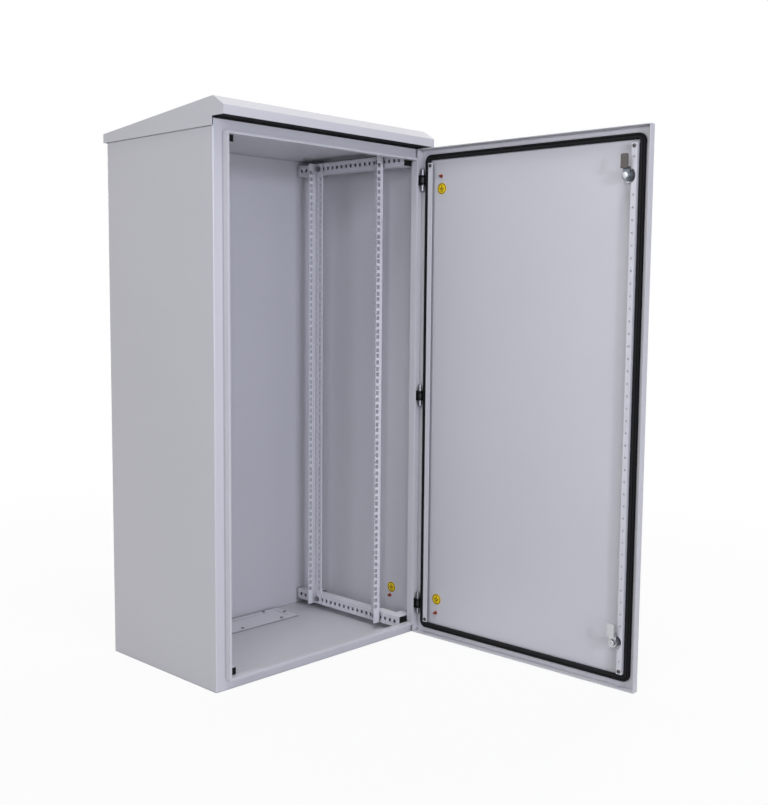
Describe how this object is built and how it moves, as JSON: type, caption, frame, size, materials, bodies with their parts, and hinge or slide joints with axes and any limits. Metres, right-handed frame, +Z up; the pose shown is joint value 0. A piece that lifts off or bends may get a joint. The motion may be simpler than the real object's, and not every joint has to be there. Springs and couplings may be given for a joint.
{
  "type": "roadside utility cabinet",
  "caption": "Free-standing sheet-steel outdoor cabinet with a sloped rain hood, 19-inch rails and a gasketed door on hidden hinges, closed by quarter-turn cam locks.",
  "frame": {"origin": "centre of the body's base, on the ground", "axes": "+Z up, the door side faces -Y, +X towards the hinges"},
  "size_m": [0.6222, 0.9878, 1.1884],
  "materials": {
    "cabinet_paint": "satin",
    "inner_paint": "satin",
    "seal_rubber": "matte",
    "black_plastic": "matte",
    "hinge_black": "satin",
    "copper_plating": "satin",
    "dark_zinc": "satin",
    "zinc_plating": "satin"
  },
  "bodies": {
    "cabinet": {"body_shell": "cabinet_paint", "rain_hood": "cabinet_paint", "hood_support_left": "inner_paint", "hood_support_right": "inner_paint", "hood_bolts": "zinc_plating", "hood_seal": "seal_rubber", "gland_plate": "inner_paint", "gland_seal": "seal_rubber", "gland_screws": "zinc_plating", "profile_lower_left": "inner_paint", "profile_lower_right": "inner_paint", "profile_upper_left": "inner_paint", "profile_upper_right": "inner_paint", "end_cap_lower_left": "black_plastic", "end_cap_lower_right": "black_plastic", "end_cap_upper_left": "black_plastic", "end_cap_upper_right": "black_plastic", "bracket_lower_left_front": "inner_paint", "bracket_lower_left_rear": "inner_paint", "bracket_lower_right_front": "inner_paint", "bracket_lower_right_rear": "inner_paint", "bracket_upper_left_front": "inner_paint", "bracket_upper_left_rear": "inner_paint", "bracket_upper_right_front": "inner_paint", "bracket_upper_right_rear": "inner_paint", "rail_front_left": "inner_paint", "rail_front_right": "inner_paint", "rail_rear_left": "inner_paint", "rail_rear_right": "inner_paint", "rail_bolts": "zinc_plating", "wall_earth_stud": "copper_plating", "hinge_block_lower": "hinge_black", "hinge_block_middle": "hinge_black", "hinge_block_upper": "hinge_black"},
    "door": {"door_pan": "cabinet_paint", "door_gasket": "seal_rubber", "door_strip_hinge": "inner_paint", "door_strip_lock": "inner_paint", "hinge_leaf_lower": "hinge_black", "hinge_leaf_middle": "hinge_black", "hinge_leaf_upper": "hinge_black", "hinge_pin_lower": "zinc_plating", "hinge_pin_middle": "zinc_plating", "hinge_pin_upper": "zinc_plating", "door_earth_stud_lower": "copper_plating", "door_earth_stud_upper": "copper_plating", "lock_housing_lower": "dark_zinc", "lock_housing_upper": "dark_zinc", "lock_nut_lower": "dark_zinc", "lock_nut_upper": "dark_zinc"},
    "lower_cam": {"lock_spindle_lower": "zinc_plating", "lock_cam_lower": "zinc_plating", "cam_screw_lower": "zinc_plating"},
    "upper_cam": {"lock_spindle_upper": "zinc_plating", "lock_cam_upper": "dark_zinc", "cam_screw_upper": "zinc_plating"}
  },
  "joints": [
    {"name": "door_hinge", "type": "hinge", "parent": "cabinet", "child": "door", "pos_m": [0.2901, -0.2042, 0.57425], "axis": [0, 0, 1], "range_deg": [-91.5, 28.5]},
    {"name": "lower_lock", "type": "hinge", "parent": "door", "child": "lower_cam", "pos_m": [0.28413, -0.74414, 0.1], "axis": [0.9997, 0.0262, 0], "range_deg": [0, 90]},
    {"name": "upper_lock", "type": "hinge", "parent": "door", "child": "upper_cam", "pos_m": [0.28413, -0.74414, 1.0485], "axis": [0.9997, 0.0262, 0], "range_deg": [0, 90]}
  ]
}
